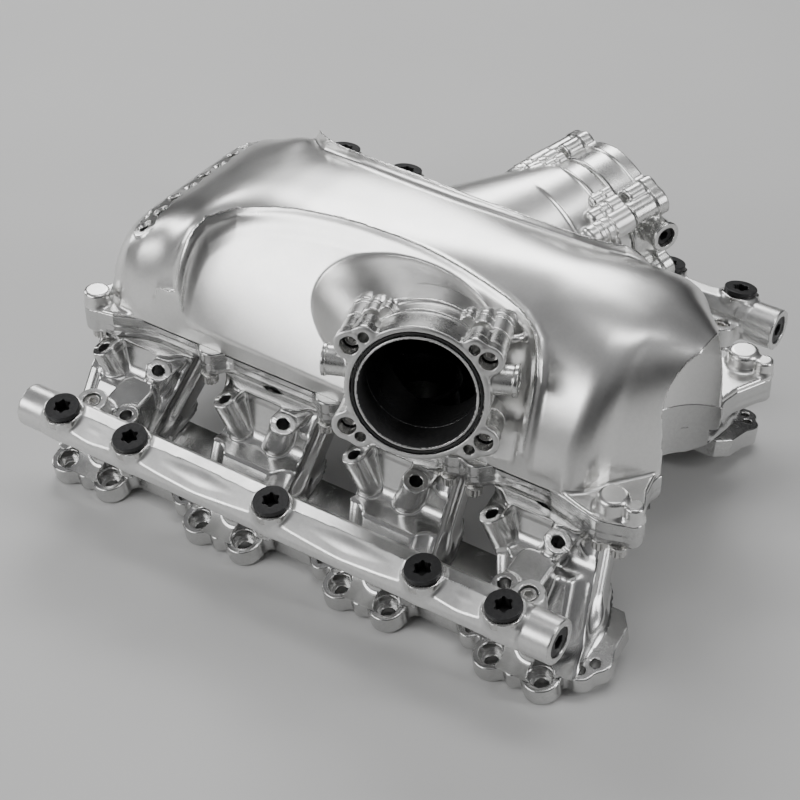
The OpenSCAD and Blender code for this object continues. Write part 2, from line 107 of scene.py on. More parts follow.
class Table:
    """A smooth curve through a few stations."""
    def __init__(self, xs, ys, soft=5.0):
        xs = np.array(xs, float); ys = np.array(ys, float)
        self.x = np.arange(xs[0] - 40, xs[-1] + 40.25, 0.25)
        y = np.interp(self.x, xs, ys)
        if soft > 0:
            k = np.arange(-int(3 * soft * 4), int(3 * soft * 4) + 1) * 0.25
            g = np.exp(-0.5 * (k / soft) ** 2); g /= g.sum()
            y = np.convolve(np.pad(y, len(k) // 2, mode="edge"), g, mode="valid")
        self.y = y
    def __call__(self, X):
        return np.interp(X.ravel(), self.x, self.y).reshape(X.shape).astype(X.dtype)

PIECES = []

def mesh_object(name, verts, quads, normals, material, mats=None, index=None):
    me = bpy.data.meshes.new(name)
    me.vertices.add(len(verts)); me.vertices.foreach_set("co", verts.astype(np.float32).ravel())
    me.loops.add(quads.size); me.loops.foreach_set("vertex_index", quads.astype(np.int32).ravel())
    me.polygons.add(len(quads))
    me.polygons.foreach_set("loop_start", np.arange(0, quads.size, 4, dtype=np.int32))
    me.polygons.foreach_set("loop_total", np.full(len(quads), 4, np.int32))
    me.update(calc_edges=True)
    me.materials.append(material)
    for m in mats or []:
        me.materials.append(m)
    if index is not None:
        me.polygons.foreach_set("material_index", index.astype(np.int32))
    me.polygons.foreach_set("use_smooth", np.ones(len(quads), bool))
    me.validate()
    me.normals_split_custom_set_from_vertices(normals.astype(np.float32))
    o = bpy.data.objects.new(name, me)
    bpy.context.scene.collection.objects.link(o)
    return o

def gradient(f, P, eps):
    g = np.empty_like(P)
    for k in range(3):
        a = P.copy(); b = P.copy()
        a[:, k] += eps; b[:, k] -= eps
        g[:, k] = (f(a[:, 0], a[:, 1], a[:, 2]) - f(b[:, 0], b[:, 1], b[:, 2])) / (2 * eps)
    return g

def surface(f, lo, hi, h, sym=False, eps=0.12):
    """The zero surface of f as points, quads and normals. sym: f is even in y, and hi[1] is 0."""
    lo = np.array(lo, float); hi = np.array(hi, float)
    n = np.ceil((hi - lo) / h).astype(int) + 1
    if sym:
        lo[1] = -(n[1] - 1) * h
    X = (lo[0] + np.arange(n[0]) * h).astype(np.float32)[:, None, None]
    Y = (lo[1] + np.arange(n[1]) * h).astype(np.float32)[None, :, None]
    Z = (lo[2] + np.arange(n[2]) * h).astype(np.float32)[None, None, :]
    F = np.ascontiguousarray(np.broadcast_to(f(X, Y, Z), tuple(n)), dtype=np.float32)
    if sym:
        F = np.ascontiguousarray(np.concatenate([F, F[:, -2::-1, :]], axis=1))
    F = np.clip(F, -3 * h, 3 * h)
    g = openvdb.FloatGrid(background=float(3 * h))
    g.copyFromArray(F)
    pts, quads = g.convertToQuads(isovalue=0.0)
    P = lo + pts.astype(float) * h
    for _ in range(3):
        v = f(P[:, 0], P[:, 1], P[:, 2])
        G = gradient(f, P, eps)
        step = G * (v / np.maximum((G * G).sum(1), 0.05))[:, None]
        L = np.linalg.norm(step, axis=1)
        P -= step * np.minimum(1, 0.6 * h / np.maximum(L, 1e-9))[:, None]
    N = gradient(f, P, eps)
    N /= np.maximum(np.linalg.norm(N, axis=1), 1e-9)[:, None]
    quads = quads[:, ::-1]
    a = P[quads[:, 0]]; c = np.cross(P[quads[:, 1]] - a, P[quads[:, 2]] - a)
    if ((c * N[quads[:, 0]]).sum(1) < 0).mean() > 0.5:
        quads = quads[:, ::-1]
    return P, quads, N

def place(P, N, quads, M=None, mirror=False, shift=0.0):
    """From a local frame to the shared one, in metres."""
    if M is not None:
        M = np.array(M, float)
        P = P @ M[:3, :3].T + M[:3, 3]; N = N @ M[:3, :3].T
        if np.linalg.det(M[:3, :3]) < 0:
            quads = quads[:, ::-1]
    P = P.copy(); N = N.copy()
    if mirror:
        P[:, 1] *= -1; N[:, 1] *= -1; quads = quads[:, ::-1]
    P[:, 0] += shift + FX; P[:, 2] += FZ
    return P / 1000.0, N, quads

def piece(name, data, material, nodes, M=None, mirror=False, shift=0.0, mats=None, pick=None):
    P, quads, N = data
    index = pick(P[quads].mean(1)) if pick is not None else None
    V, NN, Q = place(P, N, quads, M, mirror, shift)
    o = mesh_object(name, V, Q, NN, material, mats, index)
    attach(o, "root")
    if nodes:
        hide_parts(*nodes)
    PIECES.append(o)
    return o

def frame_matrix(cols, origin):
    m = np.eye(4); m[:3, :3] = np.array(cols, float).T; m[:3, 3] = origin
    return m

QUEUE = []

def later(make, use):
    """Puts a surface in the queue; the surfaces are worked out side by side at the end."""
    QUEUE.append((make, use))

def run_queue():
    with ThreadPoolExecutor(4) as pool:
        got = [pool.submit(make) for make, _ in QUEUE]
        for (_, use), g in zip(QUEUE, got):
            use(g.result())

# ------------------------------------------------------------------ materials
def new_material(name):
    m = bpy.data.materials.new(name); m.use_nodes = True
    t = m.node_tree; t.nodes.clear()
    out = t.nodes.new("ShaderNodeOutputMaterial")
    b = t.nodes.new("ShaderNodeBsdfPrincipled")
    t.links.new(b.outputs[0], out.inputs[0])
    return m, t, b

def noise(t, src, scale, detail=4.0, rough=0.55, stretch=None):
    n = t.nodes.new("ShaderNodeTexNoise")
    n.inputs["Scale"].default_value = scale
    n.inputs["Detail"].default_value = detail
    n.inputs["Roughness"].default_value = rough
    if stretch is not None:
        mp = t.nodes.new("ShaderNodeMapping")
        mp.inputs["Scale"].default_value = stretch
        t.links.new(src, mp.inputs["Vector"]); src = mp.outputs[0]
    t.links.new(src, n.inputs["Vector"])
    return n.outputs["Fac"]

def ramp(t, src, lo, hi, a=0.35, b=0.65):
    r = t.nodes.new("ShaderNodeMapRange")
    r.inputs["From Min"].default_value = a; r.inputs["From Max"].default_value = b
    r.inputs["To Min"].default_value = lo; r.inputs["To Max"].default_value = hi
    t.links.new(src, r.inputs["Value"])
    return r.outputs[0]

def math_node(t, op, a, b):
    n = t.nodes.new("ShaderNodeMath"); n.operation = op
    for i, v in enumerate((a, b)):
        if isinstance(v, (int, float)):
            n.inputs[i].default_value = v
        else:
            t.links.new(v, n.inputs[i])
    return n.outputs[0]

def mix_colour(t, fac, c1, c2):
    n = t.nodes.new("ShaderNodeMix"); n.data_type = "RGBA"
    t.links.new(fac, n.inputs[0])
    n.inputs[6].default_value = (*c1, 1); n.inputs[7].default_value = (*c2, 1)
    return n.outputs[2]

def metal(name, base, dark, rough, spread, grain=2600.0, grain_amount=0.04, lines=(1, 1, 1), line_amount=0.0, wear=0.12, metallic=1.0, swirl=70.0):
    m, t, b = new_material(name)
    co = t.nodes.new("ShaderNodeTexCoord").outputs["Object"]
    big = noise(t, co, swirl, 3.0)
    mid = noise(t, co, 420.0, 5.0, 0.6)
    fine = noise(t, co, grain, 3.0, 0.5)
    brush = noise(t, co, 900.0, 4.0, 0.6, stretch=lines)
    geo = t.nodes.new("ShaderNodeNewGeometry")
    edge = ramp(t, geo.outputs["Pointiness"], 0.0, 1.0, 0.50, 0.60)
    t.links.new(mix_colour(t, ramp(t, mid, 0.0, 1.0, 0.3, 0.7), base, dark), b.inputs["Base Color"])
    r = math_node(t, "ADD", ramp(t, big, rough - spread, rough + spread, 0.3, 0.7), ramp(t, fine, -spread * 0.35, spread * 0.35, 0.3, 0.7))
    r = math_node(t, "ADD", r, ramp(t, brush, -spread * 0.5, spread * 0.5, 0.3, 0.7))
    r = math_node(t, "ADD", r, math_node(t, "MULTIPLY", edge, -wear))
    r = math_node(t, "MAXIMUM", r, 0.06)
    t.links.new(r, b.inputs["Roughness"])
    bump = t.nodes.new("ShaderNodeBump")
    bump.inputs["Strength"].default_value = 1.0
    bump.inputs["Distance"].default_value = 0.00002
    h = math_node(t, "ADD", math_node(t, "MULTIPLY", fine, grain_amount * 10), math_node(t, "MULTIPLY", brush, line_amount * 10))
    t.links.new(h, bump.inputs["Height"])
    t.links.new(bump.outputs[0], b.inputs["Normal"])
    b.inputs["Metallic"].default_value = metallic
    return m

lid_mat = metal("lid_polished_aluminium", (0.80, 0.795, 0.785), (0.75, 0.75, 0.74), 0.30, 0.016, grain=1500, grain_amount=0.035, lines=(1, 14, 3), line_amount=0.05)
base_mat = metal("base_machined_aluminium", (0.62, 0.62, 0.615), (0.55, 0.55, 0.545), 0.25, 0.025, grain=1700, grain_amount=0.04, lines=(1, 1, 12), line_amount=0.06)
runner_mat = metal("runner_machined_aluminium", (0.66, 0.66, 0.655), (0.58, 0.58, 0.575), 0.24, 0.025, grain=1700, grain_amount=0.035, lines=(14, 2, 1), line_amount=0.07)
flange_mat = metal("flange_machined_aluminium", (0.67, 0.67, 0.665), (0.58, 0.58, 0.575), 0.24, 0.04, grain=1900, grain_amount=0.04, lines=(1, 12, 1), line_amount=0.06)
rail_mat = metal("rail_satin_aluminium", (0.78, 0.78, 0.77), (0.70, 0.70, 0.695), 0.34, 0.04, grain=3600, grain_amount=0.11, lines=(1, 1, 1), line_amount=0.02, wear=0.16)
adapter_mat = metal("adapter_machined_aluminium", (0.72, 0.72, 0.71), (0.62, 0.62, 0.61), 0.28, 0.04, grain=2200, grain_amount=0.05, lines=(1, 1, 1), line_amount=0.03)
# Painted shade: bores, the lid's inner faces and the velocity stacks get this dark colour to stand for the shade inside
# them
interior_shade_mat = metal("bore_painted_shade", (0.14, 0.14, 0.142), (0.08, 0.08, 0.082), 0.34, 0.07, grain=1500, grain_amount=0.05, lines=(1, 1, 16), line_amount=0.10, metallic=0.7)
face_mat = metal("face_milled_aluminium", (0.70, 0.70, 0.69), (0.62, 0.62, 0.615), 0.40, 0.05, grain=3000, grain_amount=0.10, lines=(18, 1, 1), line_amount=0.10)
steel_mat = metal("bolt_steel", (0.72, 0.71, 0.69), (0.55, 0.55, 0.54), 0.24, 0.06, grain=2400, grain_amount=0.05, lines=(1, 1, 1), line_amount=0.03)
plug_mat = metal("plug_black_anodised", (0.045, 0.045, 0.046), (0.028, 0.028, 0.029), 0.44, 0.06, grain=4200, grain_amount=0.12, lines=(1, 1, 1), line_amount=0.05, metallic=0.55, wear=0.2)
# Painted shade: the walls and floors of the hex sockets get this darker colour to stand for the shade down inside them
socket_shade_mat = metal("socket_painted_shade", (0.03, 0.03, 0.03), (0.015, 0.015, 0.015), 0.5, 0.08, metallic=0.4)
seal_mat = metal("seal_rubber", (0.02, 0.02, 0.02), (0.012, 0.012, 0.012), 0.62, 0.08, grain=3000, grain_amount=0.2, metallic=0.0)
body_mat = metal("injector_body", (0.10, 0.10, 0.105), (0.06, 0.06, 0.062), 0.4, 0.08, metallic=0.6)

# ------------------------------------------------------------------ plenum
UNDER, BASE_Z = 66.0, 84.0
T_W = Table([-208, -203, -194, -185, -174, -160, 148, 157, 162, 169, 174, 178, 184, 191, 197, 201, 206],
            [60, 73, 83.5, 88, 90, 90, 90, 89.6, 88, 83.5, 77, 69, 60, 50.5, 42.5, 36, 30], 1.6)
T_ZC = Table([-208, -203, -194, -185, -172, -158, -136, -122, -100, -70, -30, 10, 50, 85, 108, 124, 142, 156, 172, 186, 196, 204],
             [110, 125, 138, 143.6, 151, 158.4, 165.5, 169, 172.5, 175.5, 177, 178, 179, 180, 180.6, 180.6, 180, 178.5, 176, 171.5, 167, 162], 6)
T_ZB = Table([-185, 0, 90, 150, 175, 200], [97, 94, 91, 90, 92, 96.5], 8)
CREST = np.array([(-151, -91.5, 112), (-141, -91.2, 127), (-134.5, -90.2, 137.6), (-134.9, -82, 144.5), (-133.9, -76, 149.9), (-131.8, -70, 154.6), (-128, -64, 159.0),
    (-121, -58, 162.9), (-111.5, -51, 167.1), (-99.6, -46, 171), (-87.2, -42, 174.2), (-74.1, -39, 176.6), (-60.5, -37, 178.2), (-42.1, -35, 179.8),
    (-26.4, -33.6, 180.2), (2.5, -32.6, 179.9), (18.8, -33, 179.3), (35.7, -34.4, 178.2), (51.7, -36.2, 176.4), (68.8, -39, 174.4), (85.1, -42, 171.8),
    (97.5, -45.6, 169.4), (106.9, -50, 166.6), (115.1, -56, 163), (121.6, -64, 158.0)])
T_CY = Table([-151] + [-140] + list(CREST[7:, 0]) + [140], [-90.5] + [-78] + list(CREST[7:, 1]) + [-66], 5)
T_CZ = Table([-151] + [-140] + list(CREST[7:, 0]) + [140], [118] + [143] + list(CREST[7:, 2]) + [157], 5)
Q, DEPTH = 1.75, 30.0

def _shape_power():
    xs, ps = [], []
    drops = {-134.9: 5, -128: 7.5, -111.5: 6.5, -87.2: 5.6, -60.5: 5.0, -26.4: 4.4, 18.8: 4.2, 51.7: 4.4, 85.1: 5.0, 106.9: 6.5, 121.6: 9.0}
    for x, y, z in CREST:
        for k, dr in drops.items():
            if abs(k - x) < 1e-6:
                X = np.array([x])
                zb = float(T_ZB(X)[0]) - DEPTH; zc = float(T_ZC(X)[0])
                R = min(0.985, (z - dr - zb) / (zc - zb)); t = min(0.97, abs(y) / 90.0)
                k = 1 - (DEPTH / (zc - zb)) ** Q
                xs.append(x); ps.append(min(6.5, max(1.5, math.log(min(0.96, (1 - R ** Q) / k)) / math.log(t))))
    return xs, ps
_xs, _ps = _shape_power()
T_P = Table([-208, -185, -172, -155] + _xs + [145, 165, 185, 204], [6.5, 6.5, 5.6, 4.6] + _ps + [2.5, 2.7, 2.9, 3.0], 6)
POD = np.concatenate([[(-151, -130)], CREST[:, :2], [(125.6, -71), (127.6, -79), (128.6, -88), (130.5, -98), (132, -130)]])
T_LIP = Table([-151, -140, -134, -118, -100, -80, -60, 60, 90, 105, 116, 128, 140], [0.6, 3.0, 3.8, 3.2, 1.7, 0.5, 0, 0, 0.3, 0.9, 1.5, 1.8, 1.8], 4)
PLAN = [(-208.5, -56), (-206.5, -66), (-202, -76), (-195, -83.5), (-185, -88.6), (-172, -90), (157, -90), (163, -87.6), (169.5, -82.6), (174, -75.4), (177.6, -68.4), (184, -59.4), (191, -50.2), (197, -42),
        (199.6, -37.6), (202.6, -30), (204, -18), (204.4, 40), (-208.5, 40)]
NECK_O = np.array([76.2, -125.3, 149.3])
_a, _b = math.radians(22.83), math.radians(90 - 10.53)
NX = np.array([math.cos(_a), math.sin(_a), 0.0])
NY = np.array([-math.sin(_a) * math.cos(_b), math.cos(_a) * math.cos(_b), math.sin(_b)])
NZ = np.array([math.sin(_a) * math.sin(_b), -math.cos(_a) * math.sin(_b), math.cos(_b)])
NECK_M = frame_matrix([NX, NY, NZ], NECK_O)

def neck_local(X, Y, Z):
    x, y, z = X - NECK_O[0], Y - NECK_O[1], Z - NECK_O[2]
    return (x * NX[0] + y * NX[1], x * NY[0] + y * NY[1] + z * NY[2], x * NZ[0] + y * NZ[1] + z * NZ[2])

def hood(X, Y, Z):
    zb = T_ZB(X) - DEPTH; zc = T_ZC(X); p = T_P(X)
    w = T_W(X) / np.maximum(1 - (DEPTH / (zc - zb)) ** Q, 0.3) ** (1 / p)
    t = np.minimum(np.abs(Y) / w, 1.25)
    zz = np.maximum(Z - zb, 1.0) / (zc - zb)
    G = zz ** Q + t ** p - 1
    gz = Q * zz ** (Q - 1) / (zc - zb); gy = p * np.maximum(t, 0.02) ** (p - 1) / w
    return G / np.sqrt(gz * gz + gy * gy)

def panel(X, Y, Z):
    zb = T_ZB(X); cy = T_CY(X); cz = T_CZ(X)
    dy, dz = cy + 90.3, cz - zb
    L = np.sqrt(dy * dy + dz * dz)
    u = np.clip(((Y + 90.3) * dy + (Z - zb) * dz) / (L * L), 0, 1)
    return ((Y + 90.3) * (-dz) + (Z - zb) * dy) / L - 4.5 * u * (1 - u) * 4 * 0.55

def shell(X, Y, Z):
    h = hood(X, Y, Z)
    pod = polygon(X, Y, POD)
    pn = panel(X, Y, Z)
    lip = T_LIP(X)
    raised = smax(pn, pod * 0.96, 0.7)
    fin = smax(np.abs(pod + 1.5) - 1.5, pn - lip, 0.6)
    raised = smin(raised, fin, 3.5)
    h = smax(h, -(pod + 3.0), 5.0)
    f = smin(h, raised, 8.0)
    f = smax(f, polygon(X, Y, PLAN), 0.9)
    return f

def scoop(X, Y, Z):
    x = X - 205.0
    r = np.sqrt(x * x + Y * Y)
    zz = np.maximum(Z - 122.5, 0)
    return np.sqrt(r * r + zz * zz) - 40.0

WING_F = [(140, -80), (150, -88), (162, -91), (174, -94.5), (186, -97), (199, -94.5), (208, -91), (211.5, -84), (208, -77), (200, -60), (196, -40), (150, -60)]
WING_R = [(-158, -84), (-172, -90), (-186, -96.5), (-203, -99.5), (-211.5, -95), (-213, -86), (-209, -72), (-198, -50), (-158, -60)]

def bosses(X, Y, Z, z0, z1):
    f = smax(disc(X - 190.5, Y + 86, 10.3), np.maximum(z0 - Z, Z - z1 - 14.5), 3.5)
    f = smin(f, smax(disc(X - 205, Y + 86, 6.3), np.maximum(z0 - Z, Z - z1 - 12.5), 2.2), 1.4)
    f = smin(f, smax(disc(X + 203, Y + 91, 9.0), np.maximum(z0 - Z, Z - z1 - 12), 2.5), 1.2)
    return f

def neck_parts(lx, ly, lw):
    """The blister, the neck and the bead ring around it."""
    t = np.clip((-24 - lw) / 86.0, 0, 1.25)
    cx = -23.0 * t; a = 44.0 + 24.0 * t; b = 44.0 - 1.0 * t
    px, py = lx - cx, ly
    k0 = np.sqrt((px / a) ** 2 + (py / b) ** 2)
    k1 = np.sqrt((px / (a * a)) ** 2 + (py / (b * b)) ** 2)
    e = k0 * (k0 - 1) / np.maximum(k1, 1e-4)
    blister = smax(e * 0.93, np.maximum(lw + 38.0, -128 - lw), 2.2)
    r = np.sqrt(lx * lx + ly * ly)
    neck = smax(r - 43.0, np.maximum(lw + 26.0, -60 - lw), 0.6)
    f = smin(blister, neck, 2.6)
    ring = np.sqrt((r - 43.6) ** 2 + (lw + 37.6) ** 2) - 1.5
    f = smin(f, ring, 1.0)
    return f

def rod(x, y, w, cx, cy, r, w0, w1, edge):
    return smax(disc(x - cx, y - cy, r), np.maximum(w - w0, w1 - w), edge)

def neck_bosses(lx, ly, lw):
    """Plain cores of the bolt bosses, run into the neck with a fillet."""
    ax, ay = np.abs(lx), np.abs(ly)
    f = rod(ax, ay, lw, 41.2, 26.8, 8.2, -26.4, -60, 3.5)
    f = smin(f, rod(ax, ay, lw, 33.0, 33.0, 5.6, -26.4, -50, 2.5), 1.5)
    f = smin(f, rod(ax, ay, lw, 24.6, 37.4, 3.8, -26.4, -41, 2.0), 1.2)
    return f

def neck_collars(lx, ly, lw):
    """Stepped and grooved skins of the same bosses."""
    ax, ay = np.abs(lx), np.abs(ly)
    parts = [rod(ax, ay, lw, 41.4, 26.8, 9.2, -26.3, -41.5, 0.9), rod(ax, ay, lw, 41.3, 26.8, 8.7, -43.2, -47.2, 0.7), rod(ax, ay, lw, 41.2, 26.7, 8.9, -48.6, -53, 1.0),
             rod(ax, ay, lw, 41.0, 26.6, 7.4, -50, -63, 4.5),
             rod(ax, ay, lw, 33.1, 32.9, 7.0, -26.3, -35.5, 0.9), rod(ax, ay, lw, 33.1, 33.0, 6.4, -36.8, -40.6, 0.7), rod(ax, ay, lw, 33.0, 33.0, 5.9, -40, -51.5, 3.5),
             rod(ax, ay, lw, 24.6, 37.5, 4.6, -26.3, -32.6, 0.8), rod(ax, ay, lw, 24.6, 37.4, 4.1, -33.6, -42.2, 2.0)]
    f = None
    for p in parts:
        f = p if f is None else smin(f, p, 0.5)
    return smax(f, -(np.sqrt(lx * lx + ly * ly) - 40.0), 0.4)

def hook(lx, ly, lw):
    """A small curved rib outboard of the front boss."""
    x, w = lx - 47.5, lw + 52
    q = np.sqrt(x * x + w * w)
    return np.sqrt((q - 9.5) ** 2 + (ly - 22) ** 2) - 2.6

SX, SZ, SA = -178.5, 146.6, math.radians(25)

def strip_z(y):
    return SZ - 6.5 * (y / 66.0) ** 4 + 0.5 * np.cos(y * math.pi / 16.4)

def rear_holes(X, Y, Z):
    f = None
    y = np.abs(Y)
    d = np.array([-math.sin(SA), 0, math.cos(SA)])
    for i in range(5):
        yy = 16.2 * i
        c = np.array([SX + (0.8 if i % 2 else -0.8), yy, float(strip_z(np.array(yy)))])
        g = cylinder(X, y, Z, c - 9 * d, c + 9 * d, 3.9, edge=0.2)
        g = np.minimum(g, cylinder(X, y, Z, c - 1.0 * d, c + 9 * d, 4.9, edge=0.2))
        f = g if f is None else np.minimum(f, g)
    return f

def strip_parts(X, Y, Z):
    """Height over the strip's face, and its scalloped outline."""
    y = np.minimum(np.abs(Y), 90.0)
    s, c = math.sin(SA), math.cos(SA)
    zz = Z - strip_z(y)
    d = -(X - SX) * s + zz * c
    u = (X - SX) * c + zz * s
    lob = np.abs(u) - (7.6 + 1.5 * np.cos(2 * y * math.pi / 16.2))
    return d, smax(lob, y - 72.5, 5)

def rear_strip(f, X, Y, Z):
    d, lob = strip_parts(X, Y, Z)
    f = smin(f, smax(smax(d, -d - 9, 0.6), lob, 0.8), 0.8)
    return smax(f, -smax(-d, np.maximum(lob, d - 12), 0.3), 0.5)

def lid_field(X, Y, Z):
    Y = -np.abs(Y)
    sh = shell(X, Y, Z)
    lx, ly, lw = neck_local(X, Y, Z)
    f = rear_strip(sh, X, Y, Z)
    f = smin(f, neck_parts(lx, ly, lw), 1.6)
    f = smin(f, neck_bosses(lx, ly, lw), 1.8)
    f = smin(f, hook(lx, ly, lw), 1.5)
    wing = np.minimum(polygon(X, Y, WING_F), polygon(X, Y, WING_R))
    f = smin(f, smax(wing, Z - 87.2 + 0.10 * np.maximum(-Y - 84, 0), 1.6), 3.0)
    f = smin(f, bosses(X, Y, Z, 60, 84), 3.5)
    f = smax(f, -scoop(X, Y, Z), 0.8)
    r = np.sqrt(lx * lx + ly * ly)
    bore = np.maximum(r - 35.7, -118 - lw)
    cav = np.maximum(np.maximum(sh + 5.0, 5.0 - scoop(X, Y, Z)), X - 160)
    f = smax(f, -cav, 0.5)
    f = smax(f, -bore, 0.5)
    f = smax(f, BASE_Z + 0.13 - Z, 0.5)
    f = np.maximum(f, -rear_holes(X, Y, Z))
    return f

# Picks the lid's inner faces, which take the painted-shade colour
def lid_inner(C):
    X, Y, Z = C[:, 0], -np.abs(C[:, 1]), C[:, 2]
    sh = shell(X, Y, Z)
    lx, ly, lw = neck_local(X, Y, Z)
    r = np.sqrt(lx * lx + ly * ly)
    inside = ((sh < -3.2) & (r < 60) & (X < 159)) | ((r < 36.2) & (lw > -120) & (lw < 1)) | ((sh < -4.0) & (X < 159) & (scoop(X, Y, Z) > 4))
    return inside.astype(np.int32)

HL = 1.15
later(lambda: surface(lid_field, (-213, -128, 82), (214, 0, 194), HL, sym=True, eps=0.3),
      lambda data: piece("plenum_lid_shell", data, lid_mat, ["plenum_lid"], mats=[interior_shade_mat], pick=lid_inner))

later(lambda: surface(neck_collars, (-52, -43, -65), (52, 43, -25), 0.55),
      lambda data: [piece(f"neck_collars_{side}", data, lid_mat, [], M=NECK_M, mirror=mirror)
                    for side, mirror in (("right", False), ("left", True))])

def base_outline(X, Y):
    y = np.abs(Y)
    rear = [(-208, -50), (-206, -66), (-201, -76), (-193, -84), (-180, -86)]
    f = polygon(X, -y, rear + [(150, -86), (162, -88), (172, -84), (180, -70), (190, -56), (199.4, -40), (199.4, 40), (-208, 40)])
    for x in (-109, -15, 79, 97, 186):
        f = smin(f, disc(X - x, -y + 88.6, 7.6), 9.0)
    f = smin(f, np.minimum(polygon(X, -y, WING_F), polygon(X, -y, WING_R)), 4.0)
    return f

TOPS = [-14.6 + (i - 1.5) * 102.5 for i in range(4)]

def base_field(X, Y, Z):
    y = -np.abs(Y)
    o = base_outline(X, Y)
    # the side draws in a little towards its lower edge
    f = smax(o + np.maximum(0, 71.0 - Z) * 0.35, np.maximum(UNDER - Z, Z - (BASE_Z - 0.13)), 0.8)
    lip = smax(o + 0.2, np.maximum(76.0 - Z, Z - (BASE_Z - 0.13)), 0.8)
    f = smin(f, lip, 1.5)
    f = smin(f, smax(bosses(X, y, Z, UNDER, BASE_Z), Z - (BASE_Z - 0.13), 0.5), 1.6)
    # apron that carries the front scoop down below the base
    r = np.sqrt((X - 205) ** 2 + Y * Y)
    apron = smax(smax(r - 46.0, np.maximum(X - 199.4, np.abs(Y) - 39), 1.5), np.maximum(50 - Z + 0.55 * (X - 190), Z - 80), 3.0)
    f = smin(f, apron, 2.0)
    f = smax(f, -(r - 40.0), 0.8)
    for t in TOPS:
        f = smax(f, -(disc(X - t, np.abs(Y) - 58, 20.0)), 0.8)
    return f

HB = 1.0
later(lambda: surface(base_field, (-216, -102, 46), (216, 0, 86), HB, sym=True),
      lambda data: piece("plenum_base_plate", data, base_mat, ["plenum_base"]))

# ------------------------------------------------------------------ banks
ST, CT = math.sin(math.radians(12)), math.cos(math.radians(12))
PORTS = [(i - 1.5) * 111.76 for i in range(4)]
FLANGE_M = frame_matrix([(1, 0, 0), (0, -CT, -ST), (0, -ST, CT)], (0, -154.1, 0))

def flange_local(X, Y, Z):
    yy = Y + 154.1
    return X, -(yy * CT + Z * ST), -yy * ST + Z * CT

def runner_field(p, t):
    outer = abs(p) > 100
    nx = t + 2.4
    bx = (-140.0 if p < 0 else 151.0)
    A = {s: np.array([s * 0.325, -0.184, 0.927]) / np.linalg.norm([0.325, 0.184, 0.927]) for s in (-1, 1)}
    def f(X, Y, Z):
        _, v, w = flange_local(X, Y, Z)
        q = (-Y + Z) / 1.41421 - 124.6 / 1.41421
        m = np.clip((-Y - Z + 8.0) / 117.0, -0.05, 1.15)
        cx = t + (p - t) * m
        hx = 42.0 - 9.5 * m
        dx = np.abs(X - cx) - hx
        dq = np.abs(q) - 21.6
        body = smax(dq, dx, 13.0)
        # flutes along both flanks
        for fx, fq, fr in ((-5.5, 25.5, 10.0), (4.0, 6.5, 8.5)):
            g = np.sqrt((np.abs(X - cx) - (hx + fx)) ** 2 + (q - fq) ** 2) - fr
            body = smax(body, -g, 2.0)
        ledge_z = 42.0 if outer else 33.0
        cut = smax(ledge_z - Z, Y + 93.0 - (Z - 66.0) * 0.212, 9.0)
        body = smax(body, -cut, 1.5)
        body = smin(body, w + 0.7, 8.0)
        foot = smax(box2(X - p, v + 38.5, 33.0, 24.5, 18.0), w - 9.0, 4.0)
        body = smin(body, foot, 7.0)
        body = smax(body, np.maximum(np.abs(X - p) - 36.5 - np.maximum(w, 0) * 0.9, -214 - X + p * 0), 1.0)
        body = smin(body, smax(66.0 - Z, box2(X - t, Y + 62, 44, 29, 14) - 6, 2.0), 7.0)
        post = smax(disc(X - (p + 6.6), v + 14.34, 9.8), w - (44.8 if outer else 36.0), 0.8)
        body = smin(body, post, 4.0)
        if outer:
            boss = smax(disc(X - bx, v + 21.6, 8.4), w - 46.5, 0.8)
            mid = 0.5 * (bx + p + 6.6)
            ledge = smax(box2(X - (0.6 * bx + 0.4 * p), v + 38, 13.0, 16.0, 8.0), w - 44.5, 2.5)
            body = smin(body, ledge, 6.0)
            body = smin(body, boss, 3.0)
        # injector boss, under the rail
        ci, si = math.cos(math.radians(42)), math.sin(math.radians(42))
        o = np.array([p - 14, -173, 55.4]); d = np.array([0, -si, ci])
        body = smin(body, cylinder(X, Y, Z, o - 62 * d, o - 36 * d, 9.5, edge=1.0), 3.0)
        # nozzle bosses: barrel, tab that reaches back, thin web
        for s in (-1, 1):
            c = np.array([nx + s * 23.5, -104.5, 61.3]); a = A[s]
            e1 = np.array([a[2], 0, -a[0]]); e1 /= np.linalg.norm(e1)
            e2 = np.cross(a, e1)
            x, y, z = X - c[0], Y - c[1], Z - c[2]
            l1 = x * e1[0] + y * e1[1] + z * e1[2]
            l2 = x * e2[0] + y * e2[1] + z * e2[2]
            l3 = x * a[0] + y * a[1] + z * a[2]
            barrel = smax(disc(l1, l2, 8.5), np.maximum(l3, -44 - l3), 0.9)
            tab = smax(box2(l1, l2 - 10, 8.5, 11.0, 1.0), np.maximum(l3, -5.0 - l3), 0.9)
            web = smax(box2(l1 + s * 6.8, l2 - 8, 1.6, 10.0, 0.5), np.maximum(l3 + 1, -34 - l3), 0.6)
            boss = smin(smin(barrel, tab, 1.2), web, 2.0)
            body = smin(body, boss, 2.4)
        body = smax(body, Z - 65.9, 0.8)
        body = smax(body, -w + 0.05, 0.4)
        for s in (-1, 1):
            c = np.array([nx + s * 23.5, -104.5, 61.3]); a = A[s]
            body = smax(body, -cylinder(X, Y, Z, c - 30 * a, c + 2 * a, 4.2, edge=0.1), 0.4)
            body = smax(body, -np.maximum(disc(X - (p + s * 17.64), v, 8.0), w - 60), 0.6)
        if outer:
            body = smax(body, -np.maximum(disc(X - bx, v + 21.6, 4.25), 30 - w), 0.5)
            body = smax(body, -np.maximum(disc(X - (p + 6.6), v + 14.34, 3.1), 26 - w), 0.4)
        # air passage
        a0 = np.array([p, -154.1 + 38 * CT, 38 * ST])
        body = smax(body, -np.maximum(tube_line(X, Y, Z, a0, (t, -58, 68), 18.4), 4.5 - cut), 0.5)
        body = smax(body, -tube_line(X, Y, Z, a0 + np.array([0, 0.6, -3]), a0, 20.0), 0.5)
        return body
    return f

